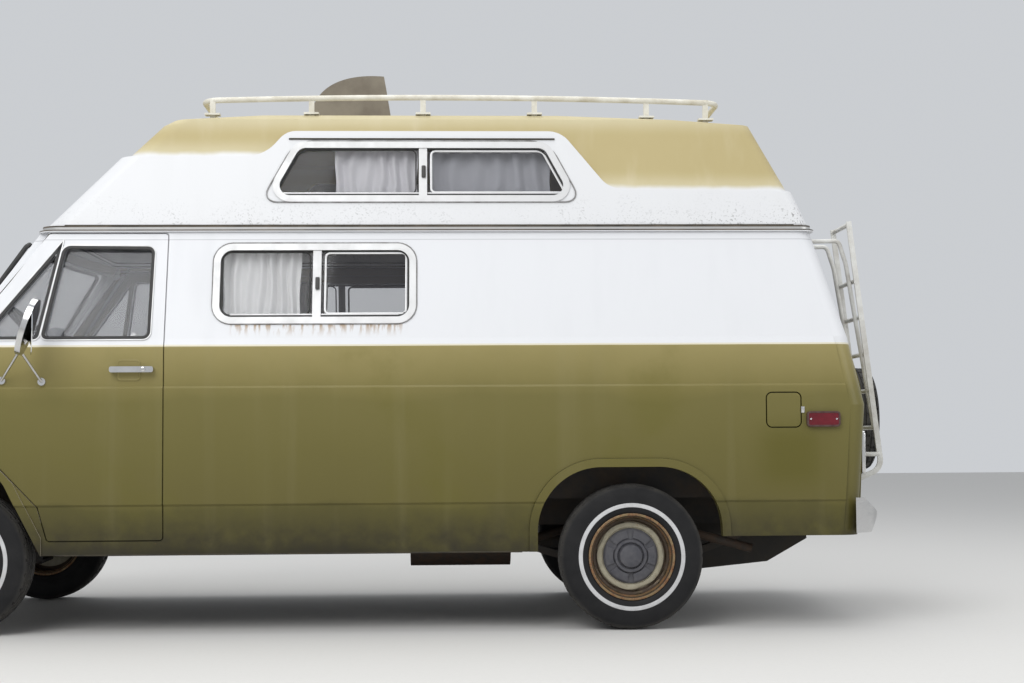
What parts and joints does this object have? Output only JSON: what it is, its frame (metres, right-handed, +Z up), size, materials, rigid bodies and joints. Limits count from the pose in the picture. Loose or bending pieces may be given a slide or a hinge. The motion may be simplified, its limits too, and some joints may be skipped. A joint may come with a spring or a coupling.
{
  "type": "camper van",
  "caption": "High-roof camper van with opening doors, hood and fuel flap, steered front wheels, roof rack, rear ladder and spare wheel.",
  "frame": {"origin": "on the ground, midway between the front bumper's face and the spare tyre's face, on the centreline", "axes": "-X is the front, -Y the driver's (left) side, +Z up; it stands on its tyres at Z = 0"},
  "size_m": [5.482, 2.506, 2.8187],
  "materials": {
    "body_paint": "satin, sun-faded",
    "white_shell": "weathered gel coat",
    "clear_glass": "polished",
    "bright_chrome": "pitted",
    "window_alloy": "satin",
    "curtain_cloth": "woven",
    "grille_alloy": "satin",
    "lamp_lens": "polished",
    "signal_lens": "gloss",
    "rack_paint": "chalky",
    "vent_plastic": "chalky",
    "floor_steel": "matt",
    "chassis_steel": "matt, dirty",
    "engine_iron": "rough",
    "tank_steel": "dirty",
    "exhaust_steel": "rusty",
    "dash_plastic": "matt",
    "wheel_plastic": "matt",
    "seat_cloth": "woven",
    "cabinet_wood": "varnished",
    "rim_paint": "dirty",
    "tyre_rubber": "worn",
    "ladder_paint": "worn"
  },
  "bodies": {
    "body": {"side_panel_left": "body_paint", "side_panel_right": "body_paint", "wheel_lips": "body_paint", "nose_panels": "body_paint", "sliding_door": "body_paint", "rear_frame": "body_paint", "windscreen": "clear_glass", "roof_frame": "bright_chrome", "high_top": "white_shell", "window_frames": "window_alloy", "window_panes": "clear_glass", "curtains": "curtain_cloth", "grille": "grille_alloy", "head_lamps": "lamp_lens", "signal_lamps": "signal_lens", "bumpers": "bright_chrome", "roof_rack": "rack_paint", "roof_vent": "vent_plastic", "floor_pan": "floor_steel", "wheel_housings": "chassis_steel", "firewall": "chassis_steel", "chassis_rails": "chassis_steel", "cross_members": "chassis_steel", "engine_block": "engine_iron", "front_suspension": "chassis_steel", "rear_axle": "chassis_steel", "fuel_tank": "tank_steel", "exhaust": "exhaust_steel", "dashboard": "dash_plastic", "seats": "seat_cloth", "bed": "seat_cloth", "cabinet": "cabinet_wood"},
    "hood": {"hood": "body_paint"},
    "fuel_flap": {"fuel_flap": "body_paint"},
    "steering_wheel": {"steering_wheel": "wheel_plastic"},
    "rear_door_left": {"rear_door_left": "body_paint", "rear_glass_left": "clear_glass", "ladder": "ladder_paint"},
    "rear_door_right": {"rear_door_right": "body_paint", "rear_glass_right": "clear_glass", "spare_carrier": "chassis_steel", "spare_wheel": "rim_paint", "spare_tyre": "tyre_rubber"},
    "cab_door_left": {"cab_door_left": "body_paint", "cab_glass_left": "clear_glass", "door_chrome_left": "bright_chrome"},
    "knuckle_left": {"knuckle_left": "chassis_steel"},
    "cab_door_right": {"cab_door_right": "body_paint", "cab_glass_right": "clear_glass", "door_chrome_right": "bright_chrome"},
    "knuckle_right": {"knuckle_right": "chassis_steel"},
    "wheel_front_left": {"wheel_front_left": "rim_paint", "tyre_front_left": "tyre_rubber"},
    "wheel_front_right": {"wheel_front_right": "rim_paint", "tyre_front_right": "tyre_rubber"},
    "wheel_rear_left": {"wheel_rear_left": "rim_paint", "tyre_rear_left": "tyre_rubber"},
    "wheel_rear_right": {"wheel_rear_right": "rim_paint", "tyre_rear_right": "tyre_rubber"}
  },
  "joints": [
    {"name": "cab_door_left_hinge", "type": "hinge", "parent": "body", "child": "cab_door_left", "pos_m": [-1.904, -1.012, 0.9], "axis": [0, 0, -1], "range_deg": [0, 70]},
    {"name": "cab_door_right_hinge", "type": "hinge", "parent": "body", "child": "cab_door_right", "pos_m": [-1.904, 1.012, 0.9], "axis": [0, 0, 1], "range_deg": [0, 70]},
    {"name": "rear_door_left_hinge", "type": "hinge", "parent": "body", "child": "rear_door_left", "pos_m": [2.384, -0.803, 1.1], "axis": [0, 0, -1], "range_deg": [0, 100]},
    {"name": "rear_door_right_hinge", "type": "hinge", "parent": "body", "child": "rear_door_right", "pos_m": [2.384, 0.803, 1.1], "axis": [0, 0, 1], "range_deg": [0, 100]},
    {"name": "hood_hinge", "type": "hinge", "parent": "body", "child": "hood", "pos_m": [-2.14, 0, 1.348], "axis": [0, 1, 0], "range_deg": [0, 50]},
    {"name": "fuel_flap_hinge", "type": "hinge", "parent": "body", "child": "fuel_flap", "pos_m": [1.893, -1.01, 1.036], "axis": [0, 0, -1], "range_deg": [0, 110]},
    {"name": "steering_wheel_turn", "type": "hinge", "parent": "body", "child": "steering_wheel", "pos_m": [-1.681, -0.48, 1.45], "axis": [0.7071, 0, 0.7071], "range_deg": [-480, 480]},
    {"name": "steer_left", "type": "hinge", "parent": "body", "child": "knuckle_left", "pos_m": [-1.926, -0.82, 0.345], "axis": [0, 0, 1], "range_deg": [-30, 30]},
    {"name": "steer_right", "type": "hinge", "parent": "body", "child": "knuckle_right", "pos_m": [-1.926, 0.82, 0.345], "axis": [0, 0, 1], "range_deg": [-30, 30]},
    {"name": "spin_front_left", "type": "hinge", "parent": "knuckle_left", "child": "wheel_front_left", "pos_m": [-1.926, -0.875, 0.345], "axis": [0, 1, 0], "continuous": true},
    {"name": "spin_front_right", "type": "hinge", "parent": "knuckle_right", "child": "wheel_front_right", "pos_m": [-1.926, 0.875, 0.345], "axis": [0, 1, 0], "continuous": true},
    {"name": "spin_rear_left", "type": "hinge", "parent": "body", "child": "wheel_rear_left", "pos_m": [1.249, -0.875, 0.345], "axis": [0, 1, 0], "continuous": true},
    {"name": "spin_rear_right", "type": "hinge", "parent": "body", "child": "wheel_rear_right", "pos_m": [1.249, 0.875, 0.345], "axis": [0, 1, 0], "continuous": true}
  ],
  "couplings": [
    {"joint": "steer_left", "follows": "steering_wheel_turn", "ratio": 0.0625},
    {"joint": "steer_right", "follows": "steering_wheel_turn", "ratio": 0.0625}
  ]
}
